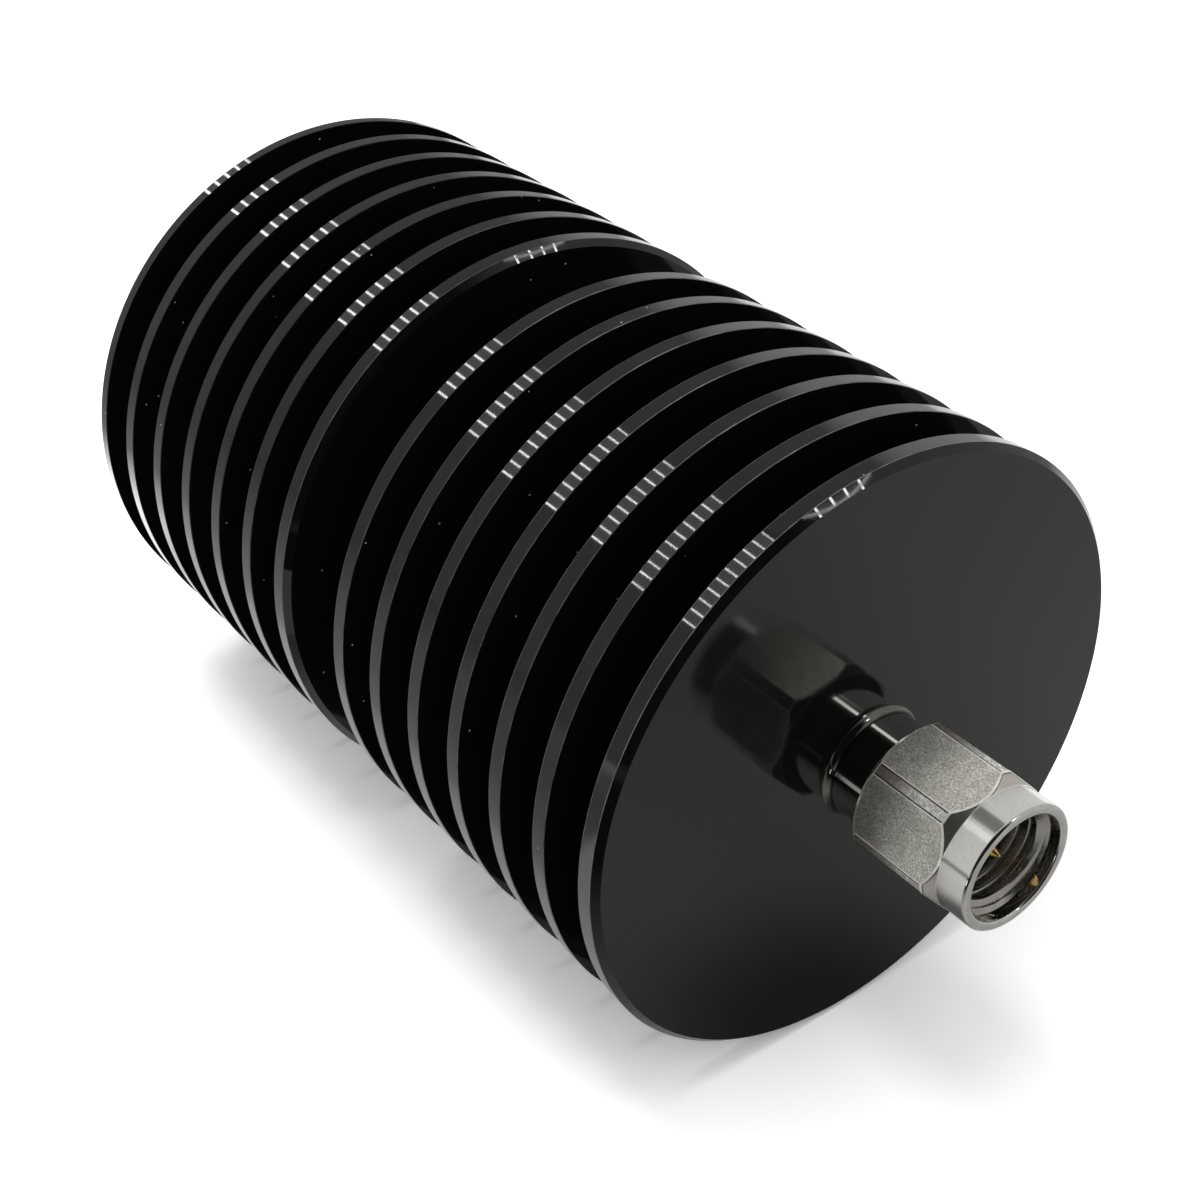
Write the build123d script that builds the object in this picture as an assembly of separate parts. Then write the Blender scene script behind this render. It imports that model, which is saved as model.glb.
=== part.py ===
"""RF dummy load: a round finned heat sink with a coaxial plug, standing on its rear face.

Millimetres, +Z along the axis from the rear face to the plug. Every size that can be set by
itself is named once below, and the rest is worked out from those.
"""
from build123d import *
from math import radians, tan
import os

# Heat sink, turned from one bar
fin_diameter = 38.8
fin_thickness = 1.04
fin_gap = 3.045
fins_per_group = 7
group_gap = 5.7
front_fin_extra = 0.4
front_chamfer = 0.4
rear_chamfer = 0.25
hub_diameter = 17.5
cartridge_bore = 6.4
spigot_thread = 6.6

# Connector shell, turned from one bar
spigot_length = 8.0
spigot_relief = 0.2
flare_diameter = 7.2
flare_height = 0.56
flare_rim = 0.06
barrel_diameter = 6.64
neck_diameter = 5.9
gasket_seat_diameter = 4.9
ferrule_diameter = 4.59
ferrule_length = 2.0
dielectric_bore = 4.14
air_bore = 5.6
bead_seat_depth = 1.1
ring_groove_depth = 0.4

# Coupling nut
nut_standoff = 2.96
nut_length = 8.29
nut_hex_length = 6.26
across_flats = 8.0
across_corners = 8.86
nut_front_angle = 35.0
nut_rear_angle = 45.0
nut_ring_diameter = 7.9
lip_chamfer = 0.2
lip_inner_chamfer = 0.15
mouth_diameter = 6.7
mouth_depth = 0.8
mouth_lead = 0.15
thread_diameter = 6.35
thread_depth = 5.55
nut_groove_depth = 0.35

# Small pieces held between the shell and the nut
ring_thickness = 0.5
ring_to_neck_end = 0.8
ring_split = 24.0
gasket_thickness = 0.6

# Centre line of the plug
pin_diameter = 0.92
pin_reach = 2.3
pin_nose_length = 0.8
pin_nose_tip = 0.16
inner_diameter = 1.27
pin_shank_diameter = 0.9
pin_shank_length = 5.0
bead_thickness = 2.0

# Load cartridge
socket_diameter = 2.4
socket_length = 11.5
socket_slot = 0.25
cap_spigot_diameter = 1.0
cap_end = 0.5
cap_wall = 0.2
cap_grip = 1.7
resistor_length = 19.6
sleeve_rear_bore = 2.6
collet_diameter = 4.0
collet_length = 3.5
collet_slot = 0.4
collet_floor = 0.3
collet_gap = 0.6
slug_length = 12.4
slug_vent = 1.0
spring_thickness = 0.25
spring_inner_diameter = 3.2

# Clearances, each the gap left on the radius or on one face
seat_clearance = 0.01
running_clearance = 0.05
spring_clearance = 0.1
ring_clearance = 0.05
thread_clearance = 0.025

# How far a cutter reaches past what it cuts, and how near two places count as one
cutter_reach = 0.5
same_place = 1e-6

# Places along the axis, from the rear face
fin_pitch = fin_thickness + fin_gap
group_length = (fins_per_group - 1) * fin_pitch + fin_thickness + front_fin_extra
front_face = 2 * group_length + group_gap
shell_rear = front_face - spigot_length
nut_rear = front_face + nut_standoff
nut_front = nut_rear + nut_length
neck_end = nut_front - thread_depth
reference_plane = neck_end + ferrule_length
bead_front = front_face + bead_seat_depth
bead_rear = bead_front - bead_thickness
socket_rear = bead_rear - socket_length
rod_front = socket_rear - cap_end
rod_rear = rod_front - resistor_length
rear_cap_end = rod_rear - cap_end
collet_seat = rear_cap_end - collet_floor
sleeve_rear = collet_seat + collet_length + collet_gap
slug_rear = sleeve_rear - slug_length
spring_height = 2.4 * spring_thickness
bore_floor = slug_rear - spring_height
ring_front = neck_end - ring_to_neck_end
ring_rear = ring_front - ring_thickness

# Radii that follow from a fit
neck_radius = neck_diameter / 2
nut_bore_radius = neck_radius + running_clearance
shell_groove_radius = neck_radius - ring_groove_depth
nut_groove_radius = nut_bore_radius + nut_groove_depth
socket_radius = socket_diameter / 2
rod_radius = socket_radius - cap_wall
cartridge_radius = cartridge_bore / 2 - seat_clearance


def turned(*corners):
    """Solid of revolution about Z from the corners (radius, height) of its half section."""
    section = make_face(Polyline(*corners, close=True))
    return revolve(Plane.XZ * section, Axis.Z)


def ring(outer, inner, low, high):
    """Plain ring between two heights."""
    return turned((inner, low), (outer, low), (outer, high), (inner, high))


def rod(radius, low, high):
    """Plain cylinder on the axis between two heights."""
    return turned((0, low), (radius, low), (radius, high), (0, high))


def cross_slots(width, length, low, high):
    """Two crossed blades that cut four slots between two heights."""
    depth = high - low
    blade = Pos(0, 0, (low + high) / 2) * Box(length, width, depth)
    return blade + Rot(0, 0, 90) * blade


def fin(rear, extra_front=0.0):
    """One fin disc whose rear side lies at the given height."""
    return rod(fin_diameter / 2, rear, rear + fin_thickness + extra_front)


def fin_group(rear):
    """Seven fins, the foremost a little thicker and chamfered at its front edge."""
    discs = [fin(rear + place * fin_pitch) for place in range(fins_per_group - 1)]
    foremost = fin(rear + (fins_per_group - 1) * fin_pitch, front_fin_extra)
    discs.append(chamfer(foremost.edges().sort_by(Axis.Z)[-1], front_chamfer))
    return discs


def heat_sink():
    """Hub and two groups of fins, bored from the front for the plug and the load cartridge."""
    body = rod(hub_diameter / 2, 0, front_face)
    for disc in fin_group(0) + fin_group(group_length + group_gap):
        body += disc
    body = chamfer(body.edges().filter_by(GeomType.CIRCLE).sort_by(Axis.Z)[0], rear_chamfer)
    body -= rod(cartridge_bore / 2, bore_floor, front_face)
    return body - rod(spigot_thread / 2, shell_rear - spigot_relief, front_face)


def connector_shell():
    """Spigot, barrel with a hollow flare at its foot, neck with its ring groove, front ferrule."""
    barrel = barrel_diameter / 2
    flare_top = (barrel, front_face + flare_height)
    flare_foot = (flare_diameter / 2, front_face + flare_rim)
    inside = Polyline(flare_top, (0, flare_top[1]), (0, front_face), (flare_foot[0], front_face),
                      flare_foot)
    hollow = TangentArc(flare_top, flare_foot, tangent=(0, -1))
    shell = revolve(Plane.XZ * make_face([inside, hollow]), Axis.Z)
    shell += rod(spigot_thread / 2 - thread_clearance, shell_rear, front_face)
    shell += rod(barrel, front_face, nut_rear - running_clearance)
    shell += rod(neck_radius, front_face, neck_end)
    shell += rod(gasket_seat_diameter / 2, front_face, neck_end + gasket_thickness)
    shell += rod(ferrule_diameter / 2, front_face, reference_plane)
    shell -= rod(dielectric_bore / 2, shell_rear, reference_plane)
    shell -= rod(air_bore / 2, shell_rear, bead_front)
    groove_rear = ring_rear - ring_clearance
    groove_front = ring_front + ring_clearance
    return shell - ring(neck_radius + cutter_reach, shell_groove_radius, groove_rear, groove_front)


def nut_blank():
    """Hexagon with turned corners and chamfered ends, and the round front ring."""
    corner = across_corners / 2
    flat = across_flats / 2
    neck = nut_ring_diameter / 2
    rear_chamfer_end = nut_rear + (corner - flat) / tan(radians(nut_rear_angle))
    hex_end = nut_rear + nut_hex_length
    cone_start = hex_end - (corner - neck) / tan(radians(nut_front_angle))
    turning = turned((0, nut_rear), (flat, nut_rear), (corner, rear_chamfer_end),
                     (corner, cone_start), (neck, hex_end), (0, hex_end))
    hexagon = RegularPolygon(flat, 6, major_radius=False)
    prism = Pos(0, 0, nut_rear) * extrude(hexagon, nut_hex_length)
    front = rod(neck, hex_end, nut_front)
    front = chamfer(front.edges().sort_by(Axis.Z)[-1], lip_chamfer)
    return (prism & turning) + front


def coupling_nut():
    """Nut bored for the neck, grooved for its ring, and opened for the thread and the mouth."""
    mouth = mouth_diameter / 2
    thread_bore = thread_diameter / 2 + thread_clearance
    step = nut_front - mouth_depth
    bore = turned((0, nut_rear), (nut_bore_radius, nut_rear), (nut_bore_radius, neck_end),
                  (thread_bore, neck_end), (thread_bore, step - mouth_lead), (mouth, step),
                  (mouth, nut_front), (0, nut_front))
    groove_rear = ring_rear - spring_clearance
    groove_front = ring_front + spring_clearance
    nut = nut_blank() - bore - rod(nut_groove_radius, groove_rear, groove_front)
    mouth_edges = [e for e in nut.edges().filter_by(GeomType.CIRCLE)
                   if abs(e.radius - mouth) < same_place
                   and abs(e.center().Z - nut_front) < same_place]
    return chamfer(mouth_edges, lip_inner_chamfer)


def retaining_ring():
    """Split spring ring that sits in both grooves."""
    inner = shell_groove_radius + ring_clearance
    outer = nut_groove_radius - ring_clearance
    full = ring(outer, inner, ring_rear, ring_front)
    section = make_face(Polyline((inner, ring_rear), (outer, ring_rear),
                                 (outer, ring_front), (inner, ring_front), close=True))
    return full & revolve(Plane.XZ * section, Axis.Z, 360 - ring_split)


def nut_gasket():
    """Soft ring on its seat behind the ferrule, against the end of the neck."""
    inner = gasket_seat_diameter / 2 + seat_clearance
    return ring(neck_radius, inner, neck_end, neck_end + gasket_thickness)


def front_insulator():
    """Insulator that fills the shell from the bead to the reference plane."""
    inner = inner_diameter / 2 + seat_clearance
    return ring(dielectric_bore / 2 - seat_clearance, inner, bead_front, reference_plane)


def support_bead():
    """Stiff bead clamped between the pin's shoulder and the contact socket."""
    inner = pin_shank_diameter / 2 + seat_clearance
    return ring(air_bore / 2 - seat_clearance, inner, bead_rear, bead_front)


def centre_pin():
    """Pointed pin, the thicker conductor behind it, and the shank in the socket."""
    tip = reference_plane + pin_reach
    nose_start = tip - pin_nose_length
    return turned((0, bead_front - pin_shank_length),
                  (pin_shank_diameter / 2, bead_front - pin_shank_length),
                  (pin_shank_diameter / 2, bead_front), (inner_diameter / 2, bead_front),
                  (inner_diameter / 2, reference_plane), (pin_diameter / 2, reference_plane),
                  (pin_diameter / 2, nose_start), (pin_nose_tip / 2, tip), (0, tip))


def contact_socket():
    """Inner conductor: slotted socket on the pin's shank, spigot in the resistor's front cap."""
    shank_end = bead_front - pin_shank_length - spring_clearance
    body = rod(socket_radius, socket_rear, bead_rear)
    body += rod(cap_spigot_diameter / 2, socket_rear - cap_end, socket_rear)
    body -= rod(pin_shank_diameter / 2 + seat_clearance, shank_end, bead_rear)
    return body - cross_slots(socket_slot, socket_diameter + 2 * cutter_reach, shank_end, bead_rear)


def resistor_cap(end, towards):
    """Metal cap whose outer end lies at the given height and that opens up (1) or down (-1)."""
    inner = rod_radius + seat_clearance
    hole = cap_spigot_diameter / 2 + seat_clearance
    step = end + towards * cap_end
    mouth = step + towards * cap_grip
    return turned((hole, end), (socket_radius, end), (socket_radius, mouth),
                  (inner, mouth), (inner, step), (hole, step))


def front_cap():
    """Cap on the resistor's hot end, on the socket's spigot."""
    return resistor_cap(socket_rear, -1)


def resistor_rod():
    """Ceramic rod that carries the resistive film."""
    return rod(rod_radius, rod_rear, rod_front)


def rear_cap():
    """Cap on the resistor's earthed end, in the collet."""
    return resistor_cap(rear_cap_end, 1)


def ground_collet():
    """Ring with four fingers that grips the rear cap."""
    low = collet_seat
    high = low + collet_length
    outer = collet_diameter / 2
    inner = socket_radius + seat_clearance
    body = turned((0, low), (outer, low), (outer, high), (inner, high),
                  (inner, low + collet_floor), (0, low + collet_floor))
    slot_floor = low + collet_floor + collet_slot
    return body - cross_slots(collet_slot, collet_diameter + 2 * cutter_reach, slot_floor, high)


def heat_slug():
    """Copper slug behind the sleeve, with a seat for the collet and a vent."""
    body = rod(cartridge_radius, slug_rear, sleeve_rear)
    body -= rod(collet_diameter / 2 + seat_clearance, collet_seat, sleeve_rear)
    return body - rod(slug_vent / 2, slug_rear, collet_seat)


def matching_sleeve():
    """Outer conductor: straight round the socket, then tapered down along the resistor."""
    straight = air_bore / 2
    taper_start = socket_rear - cap_end - cap_grip
    return turned((sleeve_rear_bore / 2, sleeve_rear), (cartridge_radius, sleeve_rear),
                  (cartridge_radius, shell_rear), (straight, shell_rear),
                  (straight, taper_start))


def disc_spring():
    """Conical washer between the bore's floor and the slug."""
    outer = cartridge_radius - spring_clearance
    inner = spring_inner_diameter / 2
    return turned((outer, bore_floor), (outer, bore_floor + spring_thickness),
                  (inner, slug_rear), (inner, slug_rear - spring_thickness))


PIECES = {
    "heat_sink": heat_sink,
    "connector_shell": connector_shell,
    "coupling_nut": coupling_nut,
    "retaining_ring": retaining_ring,
    "nut_gasket": nut_gasket,
    "front_insulator": front_insulator,
    "support_bead": support_bead,
    "centre_pin": centre_pin,
    "contact_socket": contact_socket,
    "front_cap": front_cap,
    "resistor_rod": resistor_rod,
    "rear_cap": rear_cap,
    "ground_collet": ground_collet,
    "heat_slug": heat_slug,
    "matching_sleeve": matching_sleeve,
    "disc_spring": disc_spring,
}

os.makedirs("parts", exist_ok=True)
for name, make in PIECES.items():
    export_step(make(), f"parts/{name}.step")
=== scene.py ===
"""RF dummy load: the looks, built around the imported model.

The load lies on its side on a pale floor, as in the photograph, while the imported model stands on
its rear face, so the floor here is an upright plane that touches the fins. Lengths are written in
millimetres and turned into metres by MM.
"""
from math import acos, cos, degrees, pi, radians, sin, tan

import bmesh
import bpy
from mathutils import Matrix, Vector


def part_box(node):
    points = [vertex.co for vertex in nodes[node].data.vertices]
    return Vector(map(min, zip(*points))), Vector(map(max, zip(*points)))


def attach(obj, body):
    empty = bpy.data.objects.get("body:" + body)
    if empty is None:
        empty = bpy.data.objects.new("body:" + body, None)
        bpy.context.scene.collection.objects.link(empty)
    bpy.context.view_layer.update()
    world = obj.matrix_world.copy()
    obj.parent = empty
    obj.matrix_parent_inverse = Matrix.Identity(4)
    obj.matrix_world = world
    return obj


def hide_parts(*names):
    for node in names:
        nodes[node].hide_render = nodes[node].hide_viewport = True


MM = 0.001

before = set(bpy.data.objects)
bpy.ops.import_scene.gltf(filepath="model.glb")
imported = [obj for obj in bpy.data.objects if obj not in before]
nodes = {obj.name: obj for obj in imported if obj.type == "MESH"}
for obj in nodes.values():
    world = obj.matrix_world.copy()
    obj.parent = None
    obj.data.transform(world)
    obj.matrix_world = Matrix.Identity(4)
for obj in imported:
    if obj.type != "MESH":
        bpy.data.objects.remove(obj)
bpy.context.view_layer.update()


def box_mm(node):
    """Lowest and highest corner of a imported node, in millimetres."""
    low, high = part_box(node)
    return low / MM, high / MM


sink_high = box_mm("heat_sink")[1]
shell_low, shell_high = box_mm("connector_shell")
nut_low, nut_high = box_mm("coupling_nut")
pin_low, pin_high = box_mm("centre_pin")
bead_high = box_mm("support_bead")[1]
gasket_low, gasket_high = box_mm("nut_gasket")
ring_low, ring_high = box_mm("retaining_ring")
spring_low = box_mm("disc_spring")[0]

# Heat sink
FIN_R = sink_high.x
FIN_THICKNESS = 1.04
FIN_GAP = 3.045
FIN_PITCH = FIN_THICKNESS + FIN_GAP
FINS_PER_GROUP = 7
FINS = 2 * FINS_PER_GROUP
FRONT_FIN_EXTRA = 0.4
FRONT_CHAMFER = 0.4
REAR_CHAMFER = 0.25
HUB_R = 8.75
ROOT_ROUND = 0.25
REAR_BREAK_DEPTH = 0.02
REAR_BREAK = 0.05
FRONT_BREAK = 0.04
CHAMFER_BREAK = 0.01
SPIGOT_BORE_R = 3.3
CARTRIDGE_BORE_R = 3.2
SPIGOT_RELIEF = 0.2
FRONT_FACE = sink_high.z
GROUP_LENGTH = (FINS_PER_GROUP - 1) * FIN_PITCH + FIN_THICKNESS + FRONT_FIN_EXTRA

# Connector shell
SPIGOT_R = 3.275
FLARE_R = shell_high.x
FLARE_HEIGHT = 0.56
FLARE_RIM = 0.06
BARREL_R = 3.32
BARREL_GAP = 0.05
BARREL_END = nut_low.z - BARREL_GAP
BARREL_BREAK = 0.08
NECK_BREAK = 0.05
FERRULE_BREAK = 0.04
NECK_R = 2.95
GASKET_SEAT_R = 2.45
FERRULE_R = 2.295
DIELECTRIC_BORE_R = 2.07
AIR_BORE_R = 2.8
RING_GROOVE_R = 2.55
RUNNING = 0.05

# Coupling nut
CORNER_R = nut_high.x
FLAT_R = nut_high.y
NUT_HEX_END = nut_low.z + 6.26
NUT_FRONT_ANGLE = radians(35)
NUT_REAR_ANGLE = radians(45)
NUT_RING_R = 3.95
LIP_ROUND = 0.22
LIP_INNER_ROUND = 0.17
MOUTH_R = 3.35
MOUTH_FLOOR = nut_high.z - 0.8
THREAD_ROOT_R = 3.2
THREAD_CREST_R = 2.83
THREAD_PITCH = 25.4 / 36
THREAD_END = gasket_low.z
THREAD_START = 0.2
THREAD_RUNOUT = 0.5
THREAD_ROOT_SHARE = 0.07
THREAD_FLANK_SHARE = 0.27
THREAD_PHASE = 165.0
CREST_BELOW_MOUTH = 0.60
NECK_BORE_R = 3.0
NUT_GROOVE_R = 3.35
GROOVE_PLAY = 0.1
BORE_BREAK = 0.05
RING_BREAK = 0.02
NUT_EDGE = 0.06
CONE_BORDER = 0.05
FLAT_BORDER = 0.06
CORNER_BORDER = 0.09
# Length over which a straight wall beside a curve keeps its own shading
HOLD = 0.04

# Centre pin
PIN_R = 0.46
PIN_NOSE = 0.8
PIN_TIP_R = 0.08
INNER_R = 0.635
SHANK_R = 0.45
REFERENCE_PLANE = shell_high.z

TURNED_STEPS = 240
SMALL_STEPS = 144
PIN_STEPS = 64
FLARE_STEPS = 14
CORNER_STEPS = 4
FLAT_STEPS = 20
THREAD_STEPS = 18
WELD = 0.0008
# Angles from which an edge is shaded sharp, in degrees
SINK_SHARP = 5
NUT_SHARP = 22

# The floor touches the fins on the side away from this azimuth
FLOOR_UP = radians(-43)
UP = Vector((cos(FLOOR_UP), sin(FLOOR_UP), 0))
AXIS = Vector((0, 0, 1))
SIDE = AXIS.cross(UP)
CENTRE = Vector((0, 0, 34))

# The photograph's camera, fitted to the rims
CAMERA_PLACE = Vector((95.73, -1.775, 117.03))
CAMERA_TARGET = Vector((0.078, 1.969, 34.416))
CAMERA_LENS = 59.28
SENSOR = 36.0
CLIP_NEAR = 5
CLIP_FAR = 10000
CAMERA_WAY = (CAMERA_PLACE - CAMERA_TARGET).normalized()


def way(azimuth, tilt):
    """Direction at an azimuth round the axis, tilted towards the plug, in degrees."""
    a = radians(azimuth)
    t = radians(tilt)
    return Vector((cos(a) * cos(t), sin(a) * cos(t), sin(t)))


# Parts of the room that show in the steel: a dark side round the camera, a gap and a glare
DARK_WAY = (CAMERA_WAY + SIDE * 0.09).normalized()
GAP_WAY = way(-36, -29)
GLARE_WAY = way(-12, -29)


def new_mesh_object(name, vertices, faces, materials, indices, sharp_deg=25.0):
    """Object from vertices in millimetres, with a material index for each face."""
    mesh = bpy.data.meshes.new(name)
    mesh.from_pydata([Vector(v) * MM for v in vertices], [], faces)
    for material in materials:
        mesh.materials.append(material)
    mesh.polygons.foreach_set("material_index", indices)
    mesh.polygons.foreach_set("use_smooth", [True] * len(mesh.polygons))
    mesh.set_sharp_from_angle(angle=radians(sharp_deg))
    mesh.validate()
    mesh.update()
    piece = bpy.data.objects.new(name, mesh)
    bpy.context.scene.collection.objects.link(piece)
    return piece


def lathe(name, profile, steps, materials, sharp_deg=25.0):
    """Closed body of revolution. The profile is a list of (radius, height, material index).

    Each index belongs to the band from that point to the next, and a radius of 0 lies on the axis.
    """
    vertices = []
    rows = []
    for radius, height, _ in profile:
        if radius <= 0:
            rows.append([len(vertices)] * steps)
            vertices.append((0, 0, height))
            continue
        rows.append(list(range(len(vertices), len(vertices) + steps)))
        for k in range(steps):
            turn = 2 * pi * k / steps
            vertices.append((radius * cos(turn), radius * sin(turn), height))
    faces = []
    indices = []
    for i, (radius, _, index) in enumerate(profile):
        here = rows[i]
        there = rows[(i + 1) % len(rows)]
        if radius <= 0 and profile[(i + 1) % len(profile)][0] <= 0:
            continue
        for k in range(steps):
            m = (k + 1) % steps
            faces.append(list(dict.fromkeys([here[k], here[m], there[m], there[k]])))
            indices.append(index)
    return new_mesh_object(name, vertices, faces, materials, indices, sharp_deg)


def arc(radius, height, size, start_deg, end_deg, index, steps=6):
    """Points of a rounded edge: the circle's centre, its size, and the two ends of the arc."""
    points = []
    for k in range(steps + 1):
        a = radians(start_deg + (end_deg - start_deg) * k / steps)
        points.append((radius + size * cos(a), height + size * sin(a), index))
    return points


def colour_of(value):
    """RGBA from a grey, an RGB triple, or a socket as it is."""
    if isinstance(value, bpy.types.NodeSocket):
        return value
    if isinstance(value, (int, float)):
        return (value, value, value, 1)
    return (*value, 1)


class Shader:
    """Small wrapper that adds and links nodes in one material or world."""

    def __init__(self, owner):
        owner.use_nodes = True
        self.tree = owner.node_tree
        self.tree.nodes.clear()

    def add(self, kind, inputs=None, **settings):
        node = self.tree.nodes.new(kind)
        for key, value in settings.items():
            setattr(node, key, value)
        for key, value in (inputs or {}).items():
            self.put(node.inputs[key], value)
        return node

    def put(self, socket, value):
        if isinstance(value, bpy.types.NodeSocket):
            self.tree.links.new(value, socket)
        else:
            socket.default_value = value

    def maths(self, operation, *values):
        node = self.add("ShaderNodeMath", operation=operation)
        for socket, value in zip(node.inputs, values):
            self.put(socket, value)
        return node.outputs[0]

    def times(self, first, second):
        """Product of two values."""
        return self.maths("MULTIPLY", first, second)

    def dot(self, vector, way):
        node = self.add("ShaderNodeVectorMath", operation="DOT_PRODUCT")
        self.put(node.inputs[0], vector)
        self.put(node.inputs[1], way)
        return node.outputs["Value"]

    def fade(self, value, low, high, first, last):
        """Goes smoothly from first to last while the value goes from low to high."""
        node = self.add("ShaderNodeMapRange", {"Value": value, "From Min": low, "From Max": high,
                                               "To Min": first, "To Max": last},
                        interpolation_type="SMOOTHSTEP")
        return node.outputs["Result"]

    def steps(self, factor, *stops):
        """Colour ramp from (position, grey or colour) stops."""
        node = self.add("ShaderNodeValToRGB", {"Fac": factor})
        elements = node.color_ramp.elements
        while len(elements) < len(stops):
            elements.new(0.5)
        for element, (place, colour) in zip(elements, stops):
            element.position = place
            element.color = colour_of(colour)
        return node.outputs["Color"]

    def between(self, noise, first, second):
        """Goes from first to second over the middle of a noise."""
        return self.steps(noise, (0.3, first), (0.7, second))

    def mix(self, factor, first, second):
        node = self.add("ShaderNodeMix", data_type="RGBA")
        self.put(node.inputs["Factor"], factor)
        self.put(node.inputs["A"], colour_of(first))
        self.put(node.inputs["B"], colour_of(second))
        return node.outputs["Result"]

    def place(self):
        """The point's place in the part's frame, in metres."""
        return self.add("ShaderNodeTexCoord").outputs["Object"]

    def height(self):
        """Height of the point along the load's axis, in metres."""
        return self.add("ShaderNodeSeparateXYZ", {"Vector": self.place()}).outputs[2]

    def noise(self, vector, size_mm, detail=2.0, roughness=0.5):
        """Noise whose grains are about size_mm across."""
        node = self.add("ShaderNodeTexNoise", {"Vector": vector, "Scale": 1 / (size_mm * MM),
                                               "Detail": detail, "Roughness": roughness})
        return node.outputs["Fac"]

    def turned_place(self, round_scale):
        """Place as (radius, turn, height), with turn scaled down, for turning marks."""
        parts = self.add("ShaderNodeSeparateXYZ", {"Vector": self.place()})
        x, y, z = parts.outputs
        radius = self.maths("SQRT", self.maths("ADD", self.times(x, x), self.times(y, y)))
        turn = self.times(self.maths("ARCTAN2", y, x), round_scale * MM)
        return self.add("ShaderNodeCombineXYZ", {"X": radius, "Y": turn, "Z": z}).outputs[0]

    def specks(self, spacing_mm, size, share):
        """One in a few cells of a Voronoi pattern has a small round speck of 1, the rest is 0."""
        cells = self.add("ShaderNodeTexVoronoi", {"Vector": self.place(),
                                                  "Scale": 1 / (spacing_mm * MM)})
        small = self.maths("LESS_THAN", cells.outputs["Distance"], size)
        draw = self.add("ShaderNodeSeparateColor", {"Color": cells.outputs["Color"]}).outputs[0]
        return self.times(small, self.maths("LESS_THAN", draw, share))

    def bump(self, height, depth_mm):
        """Normal of a surface raised by up to depth_mm."""
        return self.add("ShaderNodeBump", {"Height": height, "Distance": depth_mm * MM,
                                           "Strength": 1.0}).outputs["Normal"]

    def output(self, surface, kind="ShaderNodeOutputMaterial"):
        self.add(kind, {"Surface": surface})


def principled(name, build):
    """Material whose Principled shader gets its inputs from build(shader)."""
    material = bpy.data.materials.new(name)
    shader = Shader(material)
    surface = shader.add("ShaderNodeBsdfPrincipled", build(shader))
    shader.output(surface.outputs[0])
    return material


# Dust lies on the fins, up to just behind the front face
DUST = (0.60, 0.57, 0.50)
DUST_END = FRONT_FACE - 1

# Heights between which the fins' worn edges grow from none to full
WORN_FROM = 4
WORN_TO = 40


def anodised_face(s):
    """Black anodised turned faces, with faint rings and a few specks of dust."""
    rings = s.noise(s.turned_place(0.02), 0.25, 3.0)
    between = s.maths("LESS_THAN", s.height(), DUST_END * MM)
    dust = s.times(s.specks(1.7, 0.03, 0.9), between)
    return {
        "Base Color": s.mix(dust, (0.0042, 0.0036, 0.0028), DUST),
        "Roughness": s.between(rings, 0.075, 0.095),
        "IOR": 1.45,
        "Normal": s.bump(rings, 0.0004),
    }


def anodised_rim(s):
    """Black anodised fin rims with a fine grain."""
    grain = s.noise(s.place(), 0.06, 2.0)
    cloud = s.noise(s.place(), 3.0, 2.0)
    dust = s.specks(1.5, 0.035, 0.5)
    return {
        "Base Color": s.mix(dust, s.between(cloud, 0.002, 0.006), DUST),
        "Roughness": s.between(grain, 0.02, 0.045),
        "IOR": 1.9,
        "Normal": s.bump(grain, 0.00022),
    }


def anodised_chamfer(s):
    """Black anodised chamfers, cut after the faces and smoother than they are."""
    grain = s.noise(s.place(), 0.3, 2.0)
    return {
        "Base Color": s.between(grain, (0.003, 0.0025, 0.0018), (0.004, 0.0034, 0.0026)),
        "Roughness": s.between(grain, 0.015, 0.03),
        "IOR": 1.45,
    }


def worn_edge(s):
    """Fin edges where the anodising is rubbed thin, more so towards the front."""
    patches = s.noise(s.place(), 1.0, 3.0)
    worn = s.steps(patches, (0.35, (0.10, 0.097, 0.09)), (0.65, (0.22, 0.213, 0.20)))
    forward = s.fade(s.height(), WORN_FROM * MM, WORN_TO * MM, 0.0, 1.0)
    return {
        "Base Color": s.mix(forward, 0.01, worn),
        "Metallic": 0.6,
        "Roughness": 0.4,
    }


def blasted_steel(s):
    """Bead-blasted flats: a fine warm grain with dark points, and small bright points that are painted
    glints.
    """
    grain = s.noise(s.place(), 0.11, 2.0, 0.6)
    cloud = s.noise(s.place(), 0.7, 2.0)
    # Painted glints: a few specks of near-white colour on the flats
    glint_specks = s.specks(0.34, 0.16, 0.16)
    fine = s.steps(grain, (0.36, (0.40, 0.385, 0.335)), (0.64, (0.92, 0.90, 0.83)))
    tone = s.mix(s.fade(cloud, 0.35, 0.65, 0.35, 0.0), fine, (0.36, 0.345, 0.30))
    return {
        "Base Color": s.mix(glint_specks, tone, (1.0, 0.98, 0.93)),
        "Metallic": 0.93,
        "Roughness": s.between(cloud, 0.30, 0.35),
        "Normal": s.bump(grain, 0.010),
    }


def corner_steel(s):
    """Turned corners of the hexagon: grey with marks across, browner towards the rear."""
    marks = s.noise(s.place(), 0.22, 3.0, 0.6)
    rear = s.fade(s.height(), (nut_low.z + 0.5) * MM, (nut_low.z + 4.0) * MM, 0.75, 0.0)
    tone = s.steps(marks, (0.38, (0.50, 0.48, 0.45)), (0.62, (1.0, 0.98, 0.94)))
    return {
        "Base Color": s.mix(rear, tone, (0.36, 0.28, 0.23)),
        "Metallic": 0.9,
        "Roughness": 0.32,
        "Normal": s.bump(marks, 0.006),
    }


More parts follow.
